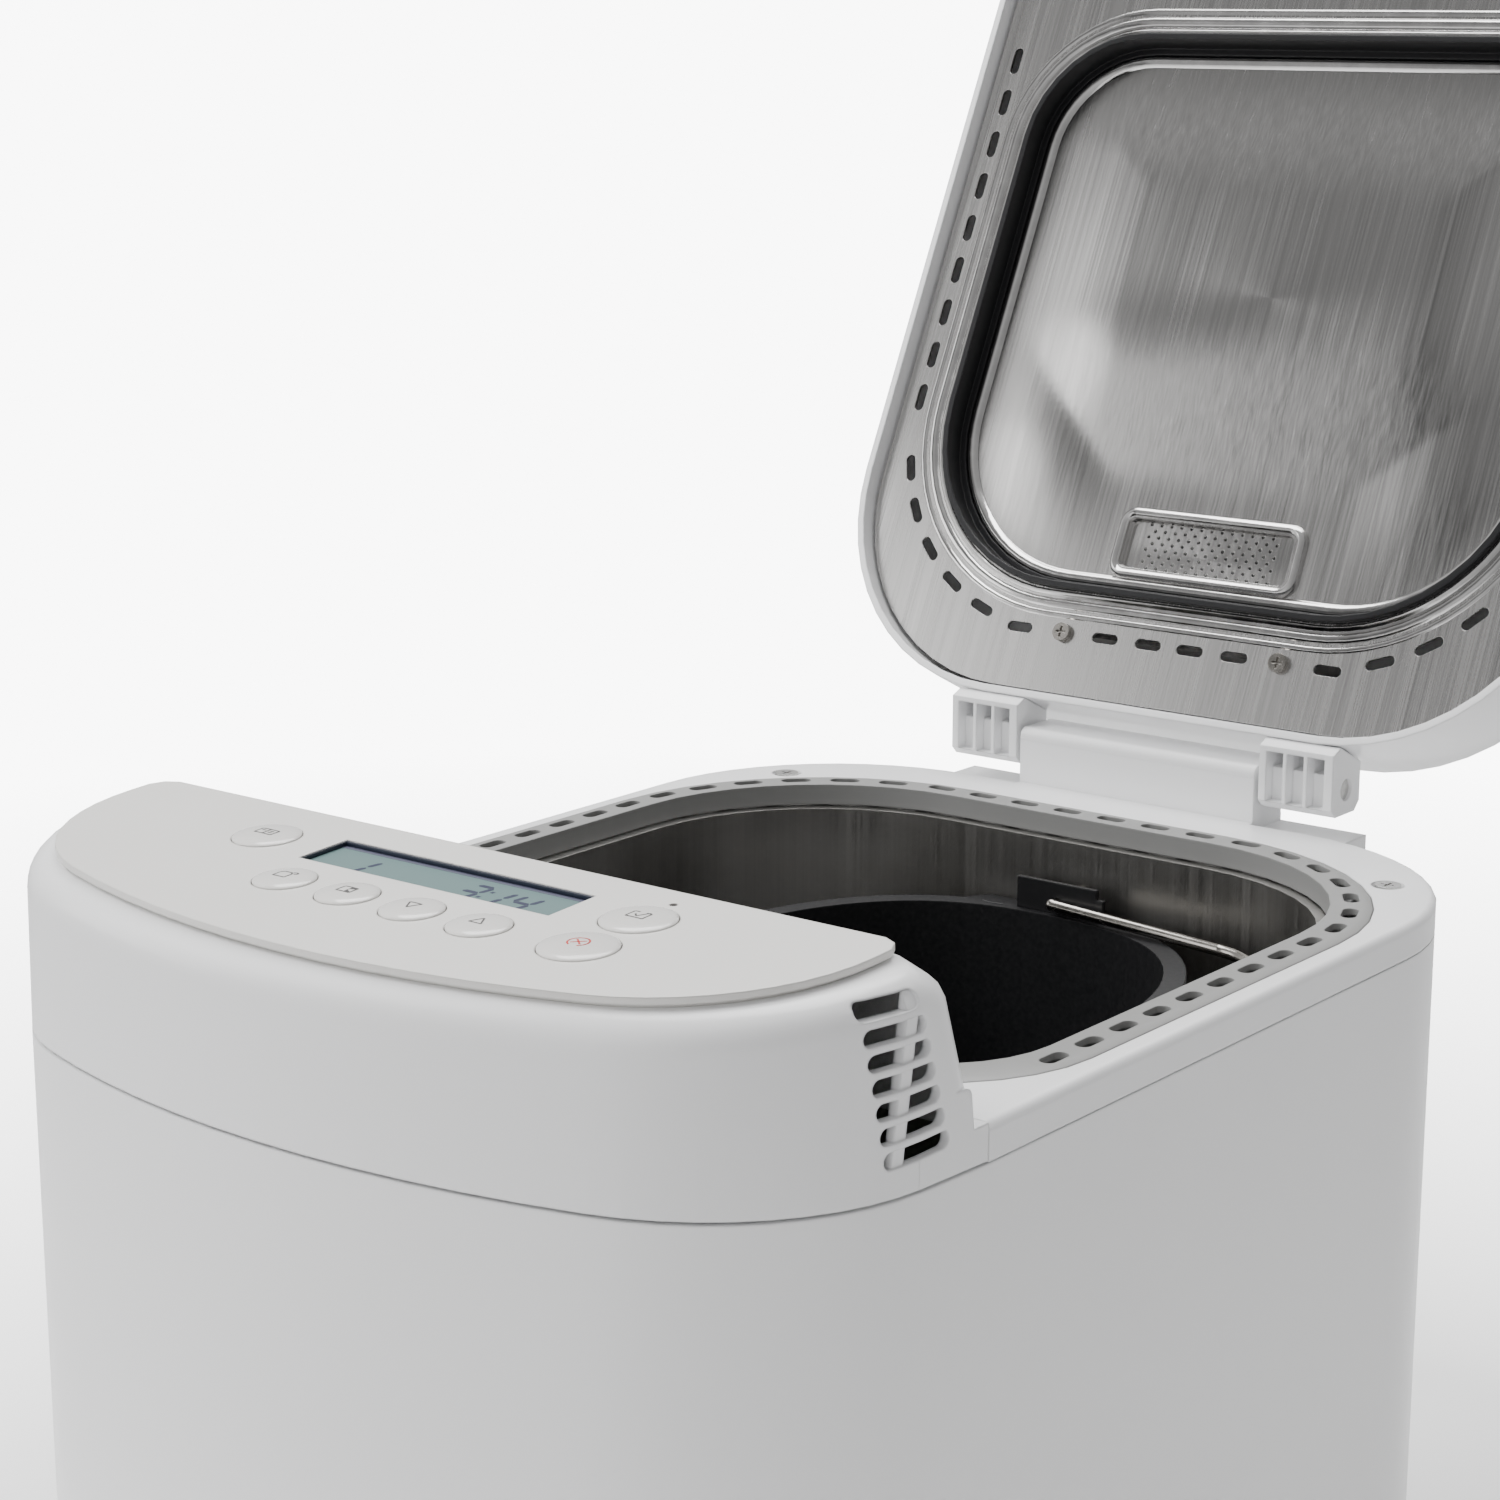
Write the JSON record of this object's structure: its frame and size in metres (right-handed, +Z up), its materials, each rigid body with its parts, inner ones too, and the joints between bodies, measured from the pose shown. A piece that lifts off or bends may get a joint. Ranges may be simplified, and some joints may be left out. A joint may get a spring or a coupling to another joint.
{
  "type": "bread machine",
  "caption": "Countertop bread machine with a sloping control panel, a vented hinged lid and a lift-out non-stick pan with a wire bail and kneading blade",
  "frame": {"origin": "On the table under the centre of the machine as it stands with its lid open, so the body's own centre lies about 80 mm further forward", "axes": "+X to the machine's right, +Y to its back where the lid hinges, +Z up from the table"},
  "size_m": [0.278, 0.5687, 0.5696],
  "materials": {
    "white_plastic": "satin white moulded housing",
    "panel_pearl": "pearl beige with a fine sparkle",
    "button_pearl": "glossy pearl beige domes",
    "lcd_clear": "clear window over a grey-green display",
    "dark_plastic": "moulded black",
    "board_green": "lacquered circuit board",
    "led_amber": "clear tinted",
    "steel_brushed": "fine brushed sheet",
    "steel_bright": "bright drawn wire and screws",
    "grey_ring": "mid grey heat-resistant moulding",
    "pan_coat": "grey sparkling coat outside, black non-stick inside",
    "cast_metal": "as cast",
    "bronze": "sintered bushing",
    "soft_rubber": "moulded",
    "zinc_plate": "zinc plated sheet"
  },
  "bodies": {
    "housing": {"base_tray": "white_plastic", "feet": "soft_rubber", "base_screws": "steel_bright", "lower_casing": "white_plastic", "top_frame": "white_plastic", "front_housing": "white_plastic", "control_panel": "panel_pearl", "lcd_window": "lcd_clear", "lcd_module": "dark_plastic", "control_board": "board_green", "tact_switches": "dark_plastic", "status_led": "led_amber", "chamber_ring": "grey_ring", "baking_chamber": "steel_brushed", "heating_element": "steel_brushed", "heater_clips": "steel_brushed", "temperature_sensor": "steel_bright", "pan_socket": "cast_metal", "socket_screws": "steel_bright", "chassis_plate": "zinc_plate", "shaft_bearing": "bronze", "motor_case": "zinc_plate", "motor_screws": "steel_bright", "drive_belt": "soft_rubber", "power_board": "board_green", "cord_inlet": "dark_plastic", "deck_screws": "steel_bright", "hinge_pins": "steel_bright"},
    "lid": {"lid_cover": "white_plastic", "lid_liner": "steel_brushed", "lid_gasket": "soft_rubber", "lid_centre_plate": "steel_brushed", "vent_plate": "steel_brushed", "steam_duct": "white_plastic", "lid_screws": "steel_bright", "hinge_arms": "white_plastic"},
    "pan": {"pan_shell": "pan_coat", "pan_brackets": "dark_plastic", "bracket_rivets": "steel_bright", "pan_foot": "cast_metal", "shaft_bush": "bronze", "shaft_seal": "soft_rubber"},
    "handle": {"bail": "steel_bright"},
    "blade": {"kneading_shaft": "steel_bright", "kneading_blade": "pan_coat", "wing_coupler": "cast_metal"},
    "drive": {"drive_shaft": "steel_bright", "drive_pulley": "cast_metal", "drive_coupler": "cast_metal"},
    "rotor": {"motor_shaft": "steel_bright", "motor_pulley": "cast_metal"},
    "menu_key": {"button_menu": "button_pearl"},
    "size_key": {"button_size": "button_pearl"},
    "crust_key": {"button_crust": "button_pearl"},
    "timer_down_key": {"button_timer_down": "button_pearl"},
    "timer_up_key": {"button_timer_up": "button_pearl"},
    "stop_key": {"button_stop": "button_pearl"},
    "start_key": {"button_start": "button_pearl"}
  },
  "joints": [
    {"name": "lid_hinge", "type": "hinge", "parent": "housing", "child": "lid", "pos_m": [0, 0.1195, 0.3], "axis": [-1, 0, 0], "range_deg": [-116, 0]},
    {"name": "pan_lift", "type": "slide", "parent": "housing", "child": "pan", "axis": [0, 0, 1], "range_m": [0, 0.24]},
    {"name": "bail_swing", "type": "hinge", "parent": "pan", "child": "handle", "pos_m": [0, -0.04, 0.2616], "axis": [0, -1, 0], "range_deg": [0, 91.5]},
    {"name": "drive_spin", "type": "hinge", "parent": "housing", "child": "drive", "pos_m": [0, -0.04, 0.05], "axis": [0, 0, 1], "continuous": true},
    {"name": "motor_spin", "type": "hinge", "parent": "housing", "child": "rotor", "pos_m": [0, -0.2205, 0.05], "axis": [0, 0, 1], "continuous": true},
    {"name": "blade_spin", "type": "hinge", "parent": "pan", "child": "blade", "pos_m": [0, -0.04, 0.12], "axis": [0, 0, 1], "continuous": true},
    {"name": "menu_press", "type": "slide", "parent": "housing", "child": "menu_key", "axis": [0, 0.0593, -0.9982], "range_m": [0, 0.0008], "stiffness_N_per_m": 600},
    {"name": "size_press", "type": "slide", "parent": "housing", "child": "size_key", "axis": [0, 0.0593, -0.9982], "range_m": [0, 0.0008], "stiffness_N_per_m": 600},
    {"name": "crust_press", "type": "slide", "parent": "housing", "child": "crust_key", "axis": [0, 0.0593, -0.9982], "range_m": [0, 0.0008], "stiffness_N_per_m": 600},
    {"name": "timer_down_press", "type": "slide", "parent": "housing", "child": "timer_down_key", "axis": [0, 0.0593, -0.9982], "range_m": [0, 0.0008], "stiffness_N_per_m": 600},
    {"name": "timer_up_press", "type": "slide", "parent": "housing", "child": "timer_up_key", "axis": [0, 0.0593, -0.9982], "range_m": [0, 0.0008], "stiffness_N_per_m": 600},
    {"name": "stop_press", "type": "slide", "parent": "housing", "child": "stop_key", "axis": [0, 0.0593, -0.9982], "range_m": [0, 0.0008], "stiffness_N_per_m": 600},
    {"name": "start_press", "type": "slide", "parent": "housing", "child": "start_key", "axis": [0, 0.0593, -0.9982], "range_m": [0, 0.0008], "stiffness_N_per_m": 600}
  ],
  "couplings": [
    {"joint": "motor_spin", "follows": "drive_spin", "ratio": 5},
    {"joint": "blade_spin", "follows": "drive_spin", "ratio": 1}
  ]
}
